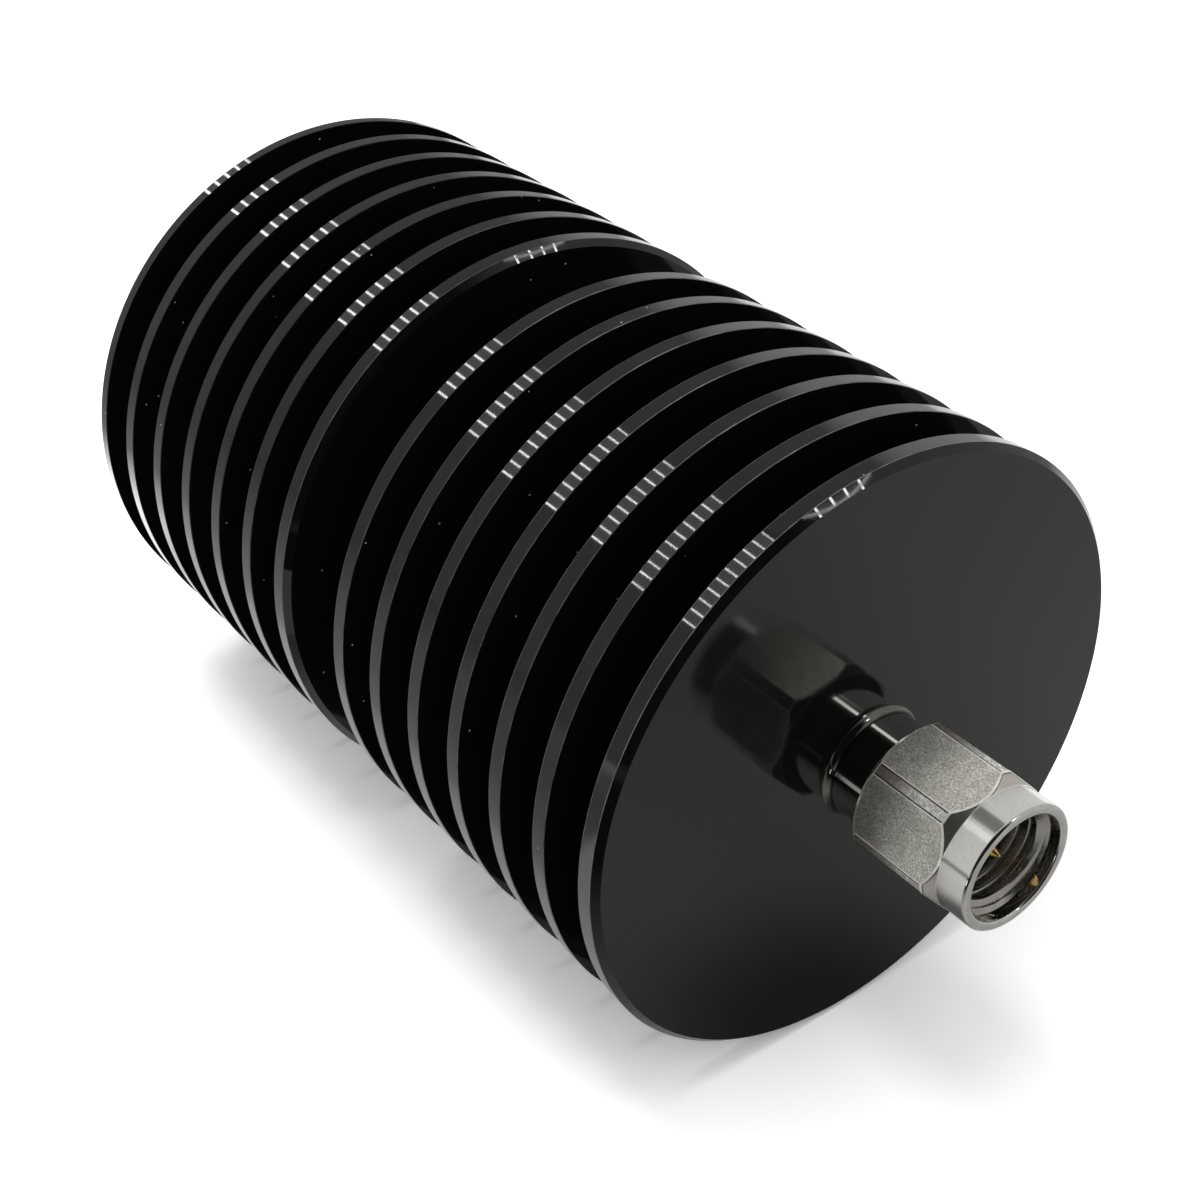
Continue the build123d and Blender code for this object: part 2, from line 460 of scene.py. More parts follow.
def cone_steel(s):
    """The nut's chamfers, with a brown tint from the cutter."""
    lines = s.noise(s.turned_place(0.4), 0.05, 2.0)
    return {
        "Base Color": s.between(lines, (0.58, 0.53, 0.48), (0.70, 0.65, 0.59)),
        "Metallic": 1.0,
        "Roughness": 0.34,
        "Normal": s.bump(lines, 0.0008),
    }


def turned_steel(s):
    """Satin turned steel with fine lines round the axis, blurred along it."""
    lines = s.noise(s.turned_place(0.4), 0.05, 2.0)
    around = s.add("ShaderNodeTangent", direction_type="RADIAL", axis="Z").outputs[0]
    return {
        "Base Color": s.between(lines, (0.64, 0.625, 0.585), (0.72, 0.705, 0.665)),
        "Metallic": 0.95,
        "Roughness": 0.16,
        "Anisotropic": 0.7,
        "Anisotropic Rotation": 0.25,
        "Tangent": around,
        "Normal": s.bump(lines, 0.0004),
    }


def edge_steel(s):
    """Bright worn edges of the hexagon."""
    smear = s.noise(s.place(), 0.3, 2.0)
    return {
        "Base Color": s.between(smear, (0.74, 0.72, 0.67), (0.95, 0.93, 0.88)),
        "Metallic": 0.6,
        "Roughness": 0.3,
    }


def polished_steel(s):
    """Smooth bright steel."""
    smear = s.noise(s.turned_place(2.0), 0.3, 2.0)
    return {
        "Base Color": s.between(smear, (0.60, 0.58, 0.54), (0.70, 0.68, 0.64)),
        "Metallic": 1.0,
        "Roughness": s.between(smear, 0.05, 0.10),
    }


def flare_steel(s):
    """The hollow flare, painted darker than the barrel above it: painted shade in the hollow."""
    smear = s.noise(s.turned_place(2.0), 0.3, 2.0)
    return {
        "Base Color": s.between(smear, (0.13, 0.125, 0.11), (0.20, 0.19, 0.17)),
        "Metallic": 1.0,
        "Roughness": s.between(smear, 0.05, 0.10),
    }


def painted_shade_border(s):
    """Thin line beside the hexagon's corners, dull and dark: painted shade, a dark colour in place of
    the dark that the edge reflects.
    """
    smear = s.noise(s.place(), 0.4, 2.0)
    return {
        "Base Color": s.between(smear, (0.05, 0.045, 0.04), (0.14, 0.13, 0.12)),
        "Metallic": 0.8,
        "Roughness": 0.3,
    }


def bore_steel(s):
    """The nut's threaded bore, duller and browner than outside."""
    smear = s.noise(s.place(), 0.5, 2.0)
    return {
        "Base Color": s.between(smear, (0.38, 0.36, 0.33), (0.48, 0.46, 0.43)),
        "Metallic": 1.0,
        "Roughness": s.between(smear, 0.20, 0.30),
    }


def gold_plate(s):
    """Gold plating."""
    smear = s.noise(s.place(), 0.3, 2.0)
    return {
        "Base Color": s.between(smear, (0.88, 0.60, 0.22), (0.95, 0.70, 0.32)),
        "Metallic": 1.0,
        "Roughness": s.between(smear, 0.10, 0.20),
    }


def plain_metal(colour, rough):
    """A plain turned metal of one colour."""
    def build(s):
        lines = s.noise(s.turned_place(0.4), 0.08, 2.0)
        darker = tuple(0.85 * c for c in colour)
        return {
            "Base Color": s.between(lines, darker, colour),
            "Metallic": 1.0,
            "Roughness": s.between(lines, rough, rough + 0.1),
        }
    return build


def plain_solid(colour, rough):
    """A plastic, rubber or ceramic of one colour."""
    def build(s):
        cloud = s.noise(s.place(), 0.6, 3.0)
        darker = tuple(0.8 * c for c in colour)
        return {
            "Base Color": s.between(cloud, darker, colour),
            "Roughness": s.between(cloud, rough, rough + 0.1),
        }
    return build


FACE, RIM, WORN, CHAMFER = 0, 1, 2, 3


def fin_profile(rear, thickness, chamfer_rear, chamfer_front):
    """Half section of one fin, from its root at the rear to its root at the front."""
    high = rear + thickness
    if chamfer_rear:
        points = [(FIN_R - chamfer_rear, rear, FACE)]
        points += [(FIN_R - CHAMFER_BREAK, rear + chamfer_rear - 2 * CHAMFER_BREAK, WORN)]
        points.append((FIN_R, rear + chamfer_rear + REAR_BREAK, RIM))
    else:
        points = [(FIN_R - REAR_BREAK_DEPTH, rear, WORN), (FIN_R, rear + REAR_BREAK, RIM)]
    if chamfer_front:
        points += [(FIN_R, high - chamfer_front - FRONT_BREAK, WORN)]
        points += [(FIN_R - CHAMFER_BREAK, high - chamfer_front + CHAMFER_BREAK, CHAMFER)]
        points += [(FIN_R - chamfer_front, high, FACE)]
    else:
        points += [(FIN_R, high - FRONT_BREAK, WORN), (FIN_R - FRONT_BREAK, high, FACE)]
    return points


def sink_profile():
    """Half section of the heat sink, outside and bore."""
    points = [(0, 0, FACE)]
    for group in range(2):
        base = group * (FRONT_FACE - GROUP_LENGTH)
        for place in range(FINS_PER_GROUP):
            rear = base + place * FIN_PITCH
            first = group == 0 and place == 0
            last = place == FINS_PER_GROUP - 1
            thickness = FIN_THICKNESS + (FRONT_FIN_EXTRA if last else 0)
            if not first:
                points += arc(HUB_R + ROOT_ROUND, rear - ROOT_ROUND, ROOT_ROUND, 180, 90, FACE, 3)
            points += fin_profile(rear, thickness, REAR_CHAMFER if first else 0,
                                  FRONT_CHAMFER if last else 0)
            if not (group == 1 and last):
                high = rear + thickness
                points += arc(HUB_R + ROOT_ROUND, high + ROOT_ROUND, ROOT_ROUND, -90, -180, FACE, 3)
    points.append((SPIGOT_BORE_R, FRONT_FACE, FACE))
    points.append((SPIGOT_BORE_R, shell_low.z - SPIGOT_RELIEF, FACE))
    points.append((CARTRIDGE_BORE_R, shell_low.z - SPIGOT_RELIEF, FACE))
    points.append((CARTRIDGE_BORE_R, spring_low.z, FACE))
    points.append((0, spring_low.z, FACE))
    return points


heat_sink = lathe("heat_sink_turned", sink_profile(), TURNED_STEPS,
                  [principled("anodised_face", anodised_face),
                   principled("anodised_rim", anodised_rim),
                   principled("worn_edge", worn_edge),
                   principled("anodised_chamfer", anodised_chamfer)], sharp_deg=SINK_SHARP)
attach(heat_sink, "load")
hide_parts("heat_sink")


def flare_profile():
    """Hollow flare at the barrel's foot, from its thin rim up to the barrel."""
    width = FLARE_R - BARREL_R
    climb = FLARE_HEIGHT - FLARE_RIM
    size = (width ** 2 + climb ** 2) / (2 * width)
    foot = 180 + degrees(acos((size - width) / size))
    points = arc(BARREL_R + size, FRONT_FACE + FLARE_HEIGHT, size, foot, 180, 1, FLARE_STEPS)
    radius, height, _ = points.pop()
    return points + [(radius, height, 0), (radius, height + HOLD, 0)]


def shell_profile():
    """Half section of the connector shell, outside from the rear and back along the bore."""
    points = [(BARREL_R, BARREL_END - BARREL_BREAK), (BARREL_R - BARREL_BREAK, BARREL_END)]
    points += [(NECK_R, BARREL_END), (NECK_R, ring_low.z - RUNNING)]
    points += [(RING_GROOVE_R, ring_low.z - RUNNING), (RING_GROOVE_R, ring_high.z + RUNNING)]
    points += [(NECK_R, ring_high.z + RUNNING), (NECK_R, THREAD_END - NECK_BREAK)]
    points += [(NECK_R - NECK_BREAK, THREAD_END), (GASKET_SEAT_R, THREAD_END)]
    points += [(GASKET_SEAT_R, gasket_high.z), (FERRULE_R, gasket_high.z)]
    points += [(FERRULE_R, REFERENCE_PLANE - FERRULE_BREAK)]
    points += [(FERRULE_R - FERRULE_BREAK, REFERENCE_PLANE)]
    points += [(DIELECTRIC_BORE_R, REFERENCE_PLANE), (DIELECTRIC_BORE_R, bead_high.z)]
    points += [(AIR_BORE_R, bead_high.z), (AIR_BORE_R, shell_low.z)]
    points += [(SPIGOT_R, shell_low.z), (SPIGOT_R, FRONT_FACE), (FLARE_R, FRONT_FACE)]
    bright = [(radius, height, 0) for radius, height in points]
    return bright + flare_profile()


steel = principled("polished_steel", polished_steel)
gold = principled("gold_plate", gold_plate)

shell = lathe("connector_shell_turned", shell_profile(), SMALL_STEPS,
              [steel, principled("flare_steel", flare_steel)])
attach(shell, "load")
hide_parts("connector_shell")


def pin_profile():
    """Half section of the centre pin, from the shank to the rounded tip."""
    nose = pin_high.z - PIN_NOSE
    points = [(0, pin_low.z, 0), (SHANK_R, pin_low.z, 0), (SHANK_R, bead_high.z, 0)]
    points += [(INNER_R, bead_high.z, 0), (INNER_R, REFERENCE_PLANE, 0)]
    points += [(PIN_R, REFERENCE_PLANE, 0), (PIN_R, nose, 0)]
    points += arc(0, pin_high.z - PIN_TIP_R, PIN_TIP_R, 25, 89, 0, 5)
    points.append((0, pin_high.z, 0))
    return points


pin = lathe("centre_pin_turned", pin_profile(), PIN_STEPS, [gold])
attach(pin, "load")
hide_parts("centre_pin")


FLAT, CORNER, EDGE, CONE, RING, BORE, BORDER, LIP = 0, 1, 2, 3, 4, 5, 6, 7


def nut_columns():
    """Azimuths round the nut, closer at the edges of each flat, with what lies after each."""
    half_corner = 30 - degrees(acos(FLAT_R / CORNER_R))
    border = degrees(CORNER_BORDER / CORNER_R)
    light = degrees(FLAT_BORDER / CORNER_R)
    columns = []
    for corner in range(0, 360, 60):
        inner = half_corner - border
        for k in range(CORNER_STEPS):
            columns.append((corner - inner + 2 * inner * k / CORNER_STEPS, CORNER))
        columns.append((corner + inner, BORDER))
        columns.append((corner + half_corner, EDGE))
        start = corner + half_corner + light
        span = 60 - 2 * half_corner - 2 * light
        for k in range(FLAT_STEPS):
            columns.append((start + span * k / FLAT_STEPS, FLAT))
        columns.append((start + span, EDGE))
        columns.append((start + span + light, BORDER))
    return columns


def nut_radius(azimuth):
    """Outer radius of the hexagon with turned corners."""
    from_flat = radians((azimuth % 60) - 30)
    return min(FLAT_R / cos(from_flat), CORNER_R)


def nut_outside(azimuth):
    """Points (radius, height, index) of one column, from the rear bore to the mouth's floor."""
    outer = nut_radius(azimuth)
    low = nut_low.z
    rear_end = max(low + (outer - FLAT_R) / tan(NUT_REAR_ANGLE), low + 2 * NUT_EDGE)
    front_end = NUT_HEX_END - (outer - NUT_RING_R) / tan(NUT_FRONT_ANGLE)
    points = [(NECK_BORE_R, low + BORE_BREAK, EDGE), (NECK_BORE_R + BORE_BREAK, low, CONE)]
    points += [(FLAT_R - NUT_EDGE, low, EDGE), (FLAT_R - 0.2 * NUT_EDGE, low + 0.8 * NUT_EDGE, CONE)]
    points += [(outer - 0.7 * NUT_EDGE, rear_end - 0.5 * NUT_EDGE, EDGE)]
    points += [(outer, rear_end + NUT_EDGE, None), (outer, front_end - 1.2 * NUT_EDGE, EDGE)]
    for gone, index in ((NUT_EDGE, BORDER), (NUT_EDGE + CONE_BORDER, CONE)):
        points.append((outer - gone * tan(NUT_FRONT_ANGLE), front_end + gone, index))
    points += [(NUT_RING_R + RING_BREAK, NUT_HEX_END - 1.5 * RING_BREAK, RING)]
    points += [(NUT_RING_R, NUT_HEX_END + RING_BREAK, RING)]
    points += [(NUT_RING_R, NUT_HEX_END + RING_BREAK + HOLD, RING)]
    points += [(NUT_RING_R, nut_high.z - LIP_ROUND - HOLD, RING)]
    points += arc(NUT_RING_R - LIP_ROUND, nut_high.z - LIP_ROUND, LIP_ROUND, 0, 90, LIP, 8)
    points += arc(MOUTH_R + LIP_INNER_ROUND, nut_high.z - LIP_INNER_ROUND, LIP_INNER_ROUND,
                  90, 180, LIP, 5)
    points += [(MOUTH_R, MOUTH_FLOOR, BORE)]
    return points


def thread_radius(share, height):
    """Radius of the threaded bore at a share of one pitch, faded out at its inner end."""
    crest = 0.5 - abs(share - 0.5)
    ridge = min(max((crest - THREAD_ROOT_SHARE) / THREAD_FLANK_SHARE, 0), 1)
    fade = min(max((height - THREAD_END - THREAD_START) / THREAD_RUNOUT, 0), 1)
    radius = THREAD_ROOT_R - (THREAD_ROOT_R - THREAD_CREST_R) * ridge * fade
    lead = MOUTH_R - (MOUTH_FLOOR - height)
    return max(radius, lead)


def build_nut():
    """Mesh of the nut: the outside in columns, the thread as rows that climb with the helix."""
    columns = nut_columns()
    vertices = []
    faces = []
    indices = []

    def add(azimuth, radius, height):
        a = radians(azimuth)
        vertices.append((radius * cos(a), radius * sin(a), height))
        return len(vertices) - 1

    count = len(columns)
    outside = [nut_outside(azimuth) for azimuth, _ in columns]
    grid = [[add(columns[c][0], r, z) for r, z, _ in outside[c]] for c in range(count)]
    for c in range(count):
        after = (c + 1) % count
        for i in range(len(outside[c]) - 1):
            index = outside[c][i][2]
            faces.append([grid[c][i], grid[c][i + 1], grid[after][i + 1], grid[after][i]][::-1])
            indices.append(columns[c][1] if index is None else index)

    first_azimuth = columns[0][0]
    rows = int((MOUTH_FLOOR - THREAD_END) / THREAD_PITCH + 3) * THREAD_STEPS
    start = THREAD_END - THREAD_PITCH
    crest_climb = (THREAD_PHASE - first_azimuth) / 360
    crest_height = MOUTH_FLOOR - CREST_BELOW_MOUTH
    crest_offset = ((crest_height - start) / THREAD_PITCH - crest_climb) % 1.0

    def thread_point(azimuth, row):
        climb = (azimuth - first_azimuth) / 360
        height = start + THREAD_PITCH * (row / THREAD_STEPS + climb)
        height = min(max(height, THREAD_END), MOUTH_FLOOR)
        share = (row / THREAD_STEPS + 0.5 - crest_offset) % 1.0
        return add(azimuth, thread_radius(share, height), height)

    bore = [[thread_point(azimuth, row) for row in range(rows + 1)] for azimuth, _ in columns]
    bore.append([thread_point(first_azimuth + 360, row) for row in range(rows + 1)])
    for c in range(count):
        for i in range(rows):
            faces.append([bore[c][i], bore[c][i + 1], bore[c + 1][i + 1], bore[c + 1][i]])
            indices.append(BORE)

    groove_low = ring_low.z - GROOVE_PLAY
    groove_high = ring_high.z + GROOVE_PLAY
    inner = [(THREAD_ROOT_R, THREAD_END), (NECK_BORE_R, THREAD_END),
             (NECK_BORE_R, groove_high), (NUT_GROOVE_R, groove_high),
             (NUT_GROOVE_R, groove_low), (NECK_BORE_R, groove_low),
             (NECK_BORE_R, nut_low.z + BORE_BREAK)]
    inside = [[add(azimuth, r, z) for r, z in inner] for azimuth, _ in columns]
    for c in range(count):
        after = (c + 1) % count
        for i in range(len(inner) - 1):
            faces.append([inside[c][i], inside[c][i + 1], inside[after][i + 1], inside[after][i]])
            indices.append(BORE)
    return vertices, faces, indices


def weld(piece, distance_mm):
    """Joins points that lie together and drops the faces that vanish, then sets normals outward."""
    mesh = piece.data
    work = bmesh.new()
    work.from_mesh(mesh)
    bmesh.ops.remove_doubles(work, verts=work.verts, dist=distance_mm * MM)
    bmesh.ops.dissolve_degenerate(work, edges=work.edges, dist=distance_mm * MM / 2)
    bmesh.ops.recalc_face_normals(work, faces=work.faces)
    work.to_mesh(mesh)
    work.free()
    mesh.set_sharp_from_angle(angle=radians(NUT_SHARP))


nut_vertices, nut_faces, nut_indices = build_nut()
nut_materials = [principled("blasted_steel", blasted_steel),
                 principled("corner_steel", corner_steel),
                 principled("edge_steel", edge_steel),
                 principled("cone_steel", cone_steel),
                 principled("turned_steel", turned_steel),
                 principled("bore_steel", bore_steel),
                 principled("painted_shade_border", painted_shade_border),
                 steel]
nut = new_mesh_object("coupling_nut_milled", nut_vertices, nut_faces, nut_materials, nut_indices)
weld(nut, WELD)
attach(nut, "nut")
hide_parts("coupling_nut")


INNER_MATERIALS = {
    "retaining_ring": principled("bronze", plain_metal((0.72, 0.46, 0.24), 0.25)),
    "nut_gasket": principled("silicone", plain_solid((0.30, 0.08, 0.06), 0.6)),
    # Painted shade: the insulator is given a dark grey so that the inside of the mouth looks shaded
    "front_insulator": principled("insulator", plain_solid((0.30, 0.28, 0.25), 0.45)),
    "support_bead": principled("amber_resin", plain_solid((0.50, 0.26, 0.07), 0.3)),
    "contact_socket": gold,
    "front_cap": principled("silver_plate", plain_metal((0.80, 0.78, 0.74), 0.2)),
    "resistor_rod": principled("film_rod", plain_solid((0.10, 0.085, 0.08), 0.4)),
    "ground_collet": gold,
    "heat_slug": principled("copper", plain_metal((0.80, 0.44, 0.30), 0.3)),
    "matching_sleeve": principled("brass", plain_metal((0.78, 0.62, 0.32), 0.25)),
    "disc_spring": principled("spring_steel", plain_metal((0.36, 0.37, 0.42), 0.3)),
}
INNER_MATERIALS["rear_cap"] = INNER_MATERIALS["front_cap"]

for name, material in INNER_MATERIALS.items():
    mesh = nodes[name].data
    mesh.materials.clear()
    mesh.materials.append(material)


FLOOR_REACH = 1500.0
# The floor's colour for matt surfaces and for the camera, where it has to come out white
FLOOR_MATT = 0.8
FLOOR_WHITE = 1.6
# Share of the floor's level in reflections that the object's shadow leaves alone
FLOOR_GLOW = 0.25


def in_mm(s, value):
    """A length of the shader, which is in metres, in millimetres."""
    return s.maths("DIVIDE", value, MM)


def cone(s, direction, centre, outer, inner, outside, inside):
    """Goes from outside to inside between two angles from a direction, in degrees."""
    return s.fade(s.dot(direction, centre), cos(radians(outer)), cos(radians(inner)), outside, inside)


def sky_level(s, direction):
    """Level of the room in reflections, by direction: dim overhead, brighter to the left."""
    height = s.dot(direction, AXIS)
    rear = s.fade(height, -0.84, -0.76, 0.31, 0.21)
    front = s.fade(height, -0.60, -0.50, 0.0, 0.80)
    left = s.fade(s.dot(direction, SIDE), -0.70, -0.48, 0.60, 0.0)
    level = s.maths("MAXIMUM", s.maths("MAXIMUM", rear, front), left)
    level = s.times(level, s.fade(height, -0.30, 0.0, 1.0, 0.72))
    level = s.maths("ADD", level, cone(s, direction, GLARE_WAY, 7, 5, 0.0, 0.45))
    level = s.times(level, cone(s, direction, GAP_WAY, 11.5, 9, 1.0, 0.22))
    return s.times(level, cone(s, direction, DARK_WAY, 60, 38, 1.0, 0.03))


def away_from(s, aside, along, centre_side, centre_height):
    """Distance on the floor from a place given by its side and height, in millimetres."""
    aside = s.maths("SUBTRACT", aside, centre_side)
    along = s.maths("SUBTRACT", along, centre_height)
    return s.maths("SQRT", s.maths("ADD", s.times(aside, aside), s.times(along, along)))


# Painted light and shade of the floor in reflections: places as side and height in millimetres, ramps
# as share of a reach and level
FLOOR_RIGHT_REACH = 220
FLOOR_RIGHT_LEVELS = ((0.127, 0.84), (0.195, 0.58), (0.255, 0.47), (0.377, 0.35), (0.536, 0.29),
                      (0.95, 0.26))
CAMERA_FOOT = (100, 110)
CAMERA_FOOT_REACH = 150
CAMERA_FOOT_LEVELS = ((0.41, 0.03), (0.53, 0.37), (0.61, 0.57), (0.71, 0.66), (0.80, 0.80), (0.93, 1.0))
REAR_LIGHT_SPOT = (18, -32)
CONTACT_SHADOW_SPOT = (3, 57)
UNDER_PLUG_SLANT = 0.56
UNDER_PLUG_LEVEL = 0.76
HORIZON_LEVEL = 1.1


def under_plug(s, aside, along):
    """Share of the painted pale stretch of floor, a painted pool of light that only the nut's ring and
    flats show.
    """
    aslant = s.maths("ADD", along, s.times(aside, UNDER_PLUG_SLANT))
    share = s.times(s.fade(aslant, 55.0, 57.0, 0.0, 1.0), s.fade(along, 56, 58, 1.0, 0.0))
    share = s.times(share, s.fade(aside, 0, 4, 0.0, 1.0))
    return s.times(share, s.fade(aside, 90, 110, 1.0, 0.0))


def floor_level(s):
    """Level of the floor in reflections, by place, all painted light and shade: dim to the right and
    dark near the camera, with a painted bright spot behind, painted light beside, painted shade to the
    front left, a painted contact shadow and a painted pale stretch under the plug.
    """
    place = s.place()
    aside = in_mm(s, s.dot(place, SIDE))
    along = in_mm(s, s.dot(place, AXIS))
    # Painted shade: dimmer to the right, and dark round the camera's foot
    level = s.steps(s.maths("DIVIDE", aside, FLOOR_RIGHT_REACH), *FLOOR_RIGHT_LEVELS)
    near_camera = s.maths("DIVIDE", away_from(s, aside, along, *CAMERA_FOOT), CAMERA_FOOT_REACH)
    level = s.times(level, s.steps(near_camera, *CAMERA_FOOT_LEVELS))
    # Painted light: a bright spot on the floor behind the object
    level = s.times(level, s.fade(away_from(s, aside, along, *REAR_LIGHT_SPOT), 10, 26, 2.7, 1.0))
    # Painted light: a brighter stretch of floor beside the object
    beside = s.times(s.fade(aside, 24, 32, 0.5, 0.0), s.fade(along, 52, 60, 1.0, 0.0))
    level = s.times(level, s.maths("ADD", 1.0, beside))
    # Painted shade: darker floor to the front left
    shade_front_left = s.times(s.fade(along, 30, 60, 0.0, 0.3), s.fade(aside, -15, 5, 1.0, 0.0))
    level = s.times(level, s.maths("SUBTRACT", 1.0, shade_front_left))
    # Painted shadow: darker floor round the place where the front face meets it
    contact = s.times(s.fade(away_from(s, aside, along, *CONTACT_SHADOW_SPOT), 3, 16, 0.75, 0.0),
                      s.fade(along, 53, 58, 0.0, 1.0))
    level = s.times(level, s.maths("SUBTRACT", 1.0, contact))
    # Painted light: the pale stretch of floor under the plug
    level = s.mix(under_plug(s, aside, along), level, UNDER_PLUG_LEVEL)
    from_centre = s.add("ShaderNodeVectorMath", {0: place, 1: CENTRE * MM}, operation="SUBTRACT")
    direction = s.add("ShaderNodeVectorMath", {0: from_centre.outputs[0]}, operation="NORMALIZE")
    far = s.fade(s.maths("ABSOLUTE", aside), 150, 320, 0.0, 1.0)
    return s.mix(far, level, s.times(sky_level(s, direction.outputs[0]), HORIZON_LEVEL))


def floor_material():
    """Pale floor, seen only from above, white to the camera, with the object's shadow on it."""
    material = bpy.data.materials.new("floor")
    s = Shader(material)
    room = floor_level(s)
    rays = s.add("ShaderNodeLightPath")
    camera = rays.outputs["Is Camera Ray"]
    mirrored = s.maths("MAXIMUM", rays.outputs["Is Glossy Ray"], rays.outputs["Is Transmission Ray"])
    plain = s.mix(camera, FLOOR_MATT, FLOOR_WHITE)
    paint = s.mix(mirrored, plain, s.mix(1 - FLOOR_GLOW, 0.0, room))
    glow = s.mix(mirrored, 0.0, s.mix(FLOOR_GLOW, 0.0, room))
    shaded = s.add("ShaderNodeBsdfDiffuse", {"Color": paint})
    bright = s.add("ShaderNodeEmission", {"Color": glow, "Strength": 1.0})
    both = s.add("ShaderNodeAddShader")
    s.put(both.inputs[0], shaded.outputs[0])
    s.put(both.inputs[1], bright.outputs[0])
    clear = s.add("ShaderNodeBsdfTransparent")
    below = s.add("ShaderNodeNewGeometry").outputs["Backfacing"]
    sided = s.add("ShaderNodeMixShader", {"Fac": below})
    s.put(sided.inputs[1], both.outputs[0])
    s.put(sided.inputs[2], clear.outputs[0])
    s.output(sided.outputs[0])
    material.cycles.emission_sampling = "NONE"
    return material


def quad(name, corners, material):
    """Stage plane from four corners in millimetres."""
    mesh = bpy.data.meshes.new(name)
    mesh.from_pydata([Vector(c) * MM for c in corners], [], [(0, 1, 2, 3)])
    mesh.materials.append(material)
    plane = bpy.data.objects.new(name, mesh)
    bpy.context.scene.collection.objects.link(plane)
    return plane


def make_floor():
    """Upright plane that touches the fins, facing the object."""
    centre = -UP * FIN_R
    a = SIDE * FLOOR_REACH
    b = AXIS * FLOOR_REACH
    corners = [centre - a - b, centre + a - b, centre + a + b, centre - a + b]
    plane = quad("floor", corners, floor_material())
    if plane.data.polygons[0].normal.dot(UP) < 0:
        plane.data.flip_normals()


make_floor()


STRIP_COLOUR = (1.0, 0.98, 0.95)


def emitter(name, level):
    """Plain emission, for strips of light."""
    material = bpy.data.materials.new(name)
    s = Shader(material)
    glow = s.add("ShaderNodeEmission", {"Color": colour_of(STRIP_COLOUR), "Strength": level})
    s.output(glow.outputs[0])
    return material


def reflected_strip(name, corners, level):
    """Stage strip of light that shows in shiny surfaces and lights nothing else."""
    plane = quad(name, corners, emitter(name, level))
    plane.visible_camera = False
    plane.visible_diffuse = False
    plane.visible_transmission = False
    plane.visible_volume_scatter = False
    plane.visible_shadow = False


def fin_rear(number):
    """Height of the rear side of a fin, for a fin number from 1 to 14."""
    group, place = divmod(number - 1, FINS_PER_GROUP)
    return group * (FRONT_FACE - GROUP_LENGTH) + place * FIN_PITCH


def fin_middle(number):
    """Height of the middle of a fin."""
    return fin_rear(number) + FIN_THICKNESS / 2


def mirrored(point, normal):
    """Direction in which a surface shows the camera its surroundings."""
    towards = (CAMERA_PLACE - point).normalized()
    return normal * (2 * towards.dot(normal)) - towards


def mirrored_in_rim(azimuth, height, ceiling):
    """Point of the ceiling that a rim shows the camera at an azimuth and height."""
    normal = Vector((cos(radians(azimuth)), sin(radians(azimuth)), 0))
    point = normal * FIN_R + AXIS * height
    ray = mirrored(point, normal)
    return point + ray * ((ceiling - point.dot(UP)) / ray.dot(UP))


# Slats of the lamp overhead, as the rims show them: azimuth at fin 1 and at fin 14, first fin, level
CEILING = 260.0
SLAT_PAST = 2.0
SLAT_WIDTH_REAR = 0.55
SLAT_WIDTH_FRONT = 0.22
SLAT_REAR = -24.6
SLAT_REAR_STEP = 2.6
SLAT_FRONT = -18.9
SLAT_FRONT_STEP = 1.93
SLAT_FIRST_FIN = (1, 1, 1, 1, 1, 4, 5, 9, 10, 13)
SLAT_LEVELS = (5.5, 7.5, 8.5, 7.5, 8.5, 8.0, 8.5, 7.5, 9.0, 7.5)
GAP_ABOVE = 5.0
GAP_LEVEL = 0.45


def slat_azimuth(index, height, edge):
    """Azimuth on the rims at which an edge (-1 or 1) of slat number index shows at a height."""
    share = (height - fin_middle(1)) / (fin_middle(FINS) - fin_middle(1))
    rear = SLAT_REAR + SLAT_REAR_STEP * index + edge * SLAT_WIDTH_REAR / 2
    front = SLAT_FRONT + SLAT_FRONT_STEP * index + edge * SLAT_WIDTH_FRONT / 2
    return rear + (front - rear) * share


def slat_corners(first, last, first_fin, ceiling):
    """Corners on the ceiling of a strip from one slat to another, from a fin to the front."""
    low = fin_middle(first_fin) - SLAT_PAST
    high = fin_middle(FINS) + SLAT_PAST
    corners = []
    for height, index, edge in ((high, first, -1), (high, last, 1), (low, last, 1), (low, first, -1)):
        corners.append(mirrored_in_rim(slat_azimuth(index, height, edge), height, ceiling))
    return corners


for index, first in enumerate(SLAT_FIRST_FIN):
    corners = slat_corners(index, index, first, CEILING)
    reflected_strip(f"slat_{index}", corners, SLAT_LEVELS[index])
for index, first in enumerate(SLAT_FIRST_FIN[1:]):
    corners = slat_corners(index, index + 1, first, CEILING + GAP_ABOVE)
    reflected_strip(f"slat_gap_{index}", corners, GAP_LEVEL)


def mirrored_in_chamfer(azimuth, number, depth, reach):
    """Point at some reach that the front chamfer of a fin shows, at a share of its width."""
    around = Vector((cos(radians(azimuth)), sin(radians(azimuth)), 0))
    front = fin_rear(number) + FIN_THICKNESS + FRONT_FIN_EXTRA
    point = around * (FIN_R - FRONT_CHAMFER * depth) + AXIS * (front - FRONT_CHAMFER * (1 - depth))
    return point + mirrored(point, (around + AXIS).normalized()) * reach


def chamfer_patch(name, number, start, end, level, reach=200.0, inner=1.2):
    """Strip of light that shows in a fin's front chamfer between two azimuths."""
    corners = [mirrored_in_chamfer(start, number, PATCH_OUTER, reach),
               mirrored_in_chamfer(end, number, PATCH_OUTER, reach),
               mirrored_in_chamfer(end, number, inner, reach),
               mirrored_in_chamfer(start, number, inner, reach)]
    reflected_strip(name, corners, level)


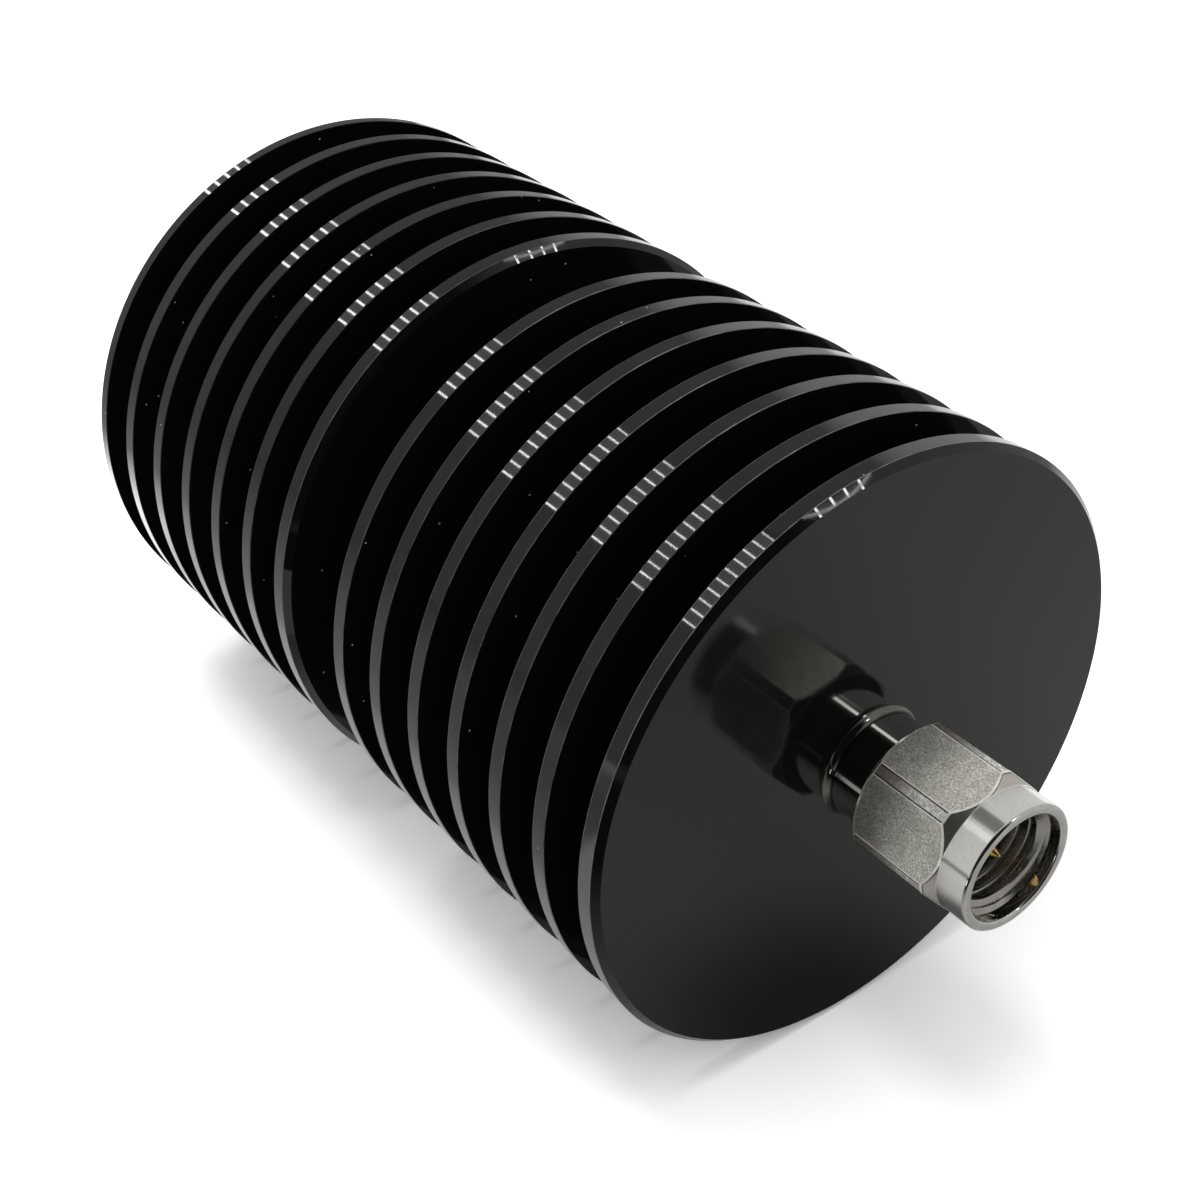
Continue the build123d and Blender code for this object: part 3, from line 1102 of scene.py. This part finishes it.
# Lines of light in two chamfers, by fin number, as azimuths
CHAMFER_LINES = {7: (-47.7, -45.0, -42.2, -39.1), 14: (-35.7, -32.8, -30.0, -27.0)}
HALF_LINE = 0.22
PAST_LINES = 2.6
PATCH_OUTER = -0.2
LINE_LEVEL = 26.0
COVER_LEVEL = 1.0
EDGE_LEVEL = 6.0

for number, azimuths in CHAMFER_LINES.items():
    for index, azimuth in enumerate(azimuths):
        chamfer_patch(f"chamfer_line_{number}_{index}", number, azimuth - HALF_LINE,
                      azimuth + HALF_LINE, level=LINE_LEVEL)
    chamfer_patch(f"chamfer_cover_{number}", number, azimuths[0], azimuths[-1],
                  level=COVER_LEVEL, reach=204.0)
    chamfer_patch(f"chamfer_edge_{number}", number, azimuths[0] - PAST_LINES,
                  azimuths[-1] + PAST_LINES, level=EDGE_LEVEL, reach=202.0, inner=0.12)


def area_lamp(name, place, target, width, height, level, glossy=True, diffuse=True):
    """Area lamp with a radiance of level, aimed from place at target, sizes in millimetres."""
    lamp = bpy.data.lights.new(name, "AREA")
    lamp.shape = "RECTANGLE"
    lamp.size = width * MM
    lamp.size_y = height * MM
    lamp.energy = level * pi * lamp.size * lamp.size_y
    body = bpy.data.objects.new(name, lamp)
    bpy.context.scene.collection.objects.link(body)
    aim = (target - place).normalized()
    across = aim.cross(AXIS).normalized()
    upward = across.cross(aim)
    turn = Matrix((across, upward, -aim)).transposed()
    body.matrix_world = Matrix.Translation(place * MM) @ turn.to_4x4()
    body.visible_camera = False
    body.visible_glossy = glossy
    body.visible_diffuse = diffuse


# The key lights the object and casts its shadow, the others only show as streaks on the barrel
PLUG = Vector((0, 0, FRONT_FACE + 4))
KEY_PLACE = CENTRE + UP * 560 + SIDE * 120 - AXIS * 70
TOP_PLACE = PLUG + way(-62, 30.5) * 300
SIDE_PLACE = Vector((15.4, 23.9, 70.9))
PLUG_FOOT = Vector((0, 0, FRONT_FACE))
area_lamp("key", KEY_PLACE, CENTRE, width=130, height=460, level=5.2, glossy=False)
area_lamp("streak_top", TOP_PLACE, PLUG, width=28, height=42, level=11.0, diffuse=False)
area_lamp("streak_side", SIDE_PLACE, PLUG_FOOT, width=4, height=3, level=4.5, diffuse=False)


# Level at which the room lights matt surfaces
SKY_LIGHT = 0.75


def make_world():
    """White behind the object, and for reflections a room with a dark side round the camera."""
    world = bpy.data.worlds.new("studio")
    bpy.context.scene.world = world
    s = Shader(world)
    direction = s.add("ShaderNodeTexCoord").outputs["Generated"]
    level = sky_level(s, direction)
    rays = s.add("ShaderNodeLightPath")
    tone = s.mix(rays.outputs["Is Glossy Ray"], SKY_LIGHT, level)
    behind = s.maths("MAXIMUM", rays.outputs["Is Camera Ray"], rays.outputs["Is Transmission Ray"])
    back = s.add("ShaderNodeBackground", {"Color": s.mix(behind, tone, 1.0), "Strength": 1.0})
    s.output(back.outputs[0], "ShaderNodeOutputWorld")


make_world()


def make_camera():
    """The photograph's camera: level with the floor, aimed along its fitted axis."""
    data = bpy.data.cameras.new("camera")
    data.sensor_width = SENSOR
    data.lens = CAMERA_LENS
    data.clip_start = CLIP_NEAR * MM
    data.clip_end = CLIP_FAR * MM
    body = bpy.data.objects.new("camera", data)
    bpy.context.scene.collection.objects.link(body)
    right = (-CAMERA_WAY).cross(UP).normalized()
    top = CAMERA_WAY.cross(right)
    turn = Matrix((right, top, CAMERA_WAY)).transposed()
    body.matrix_world = Matrix.Translation(CAMERA_PLACE * MM) @ turn.to_4x4()
    bpy.context.scene.camera = body


make_camera()
bpy.context.scene.view_settings.view_transform = "Standard"

bpy.context.view_layer.update()
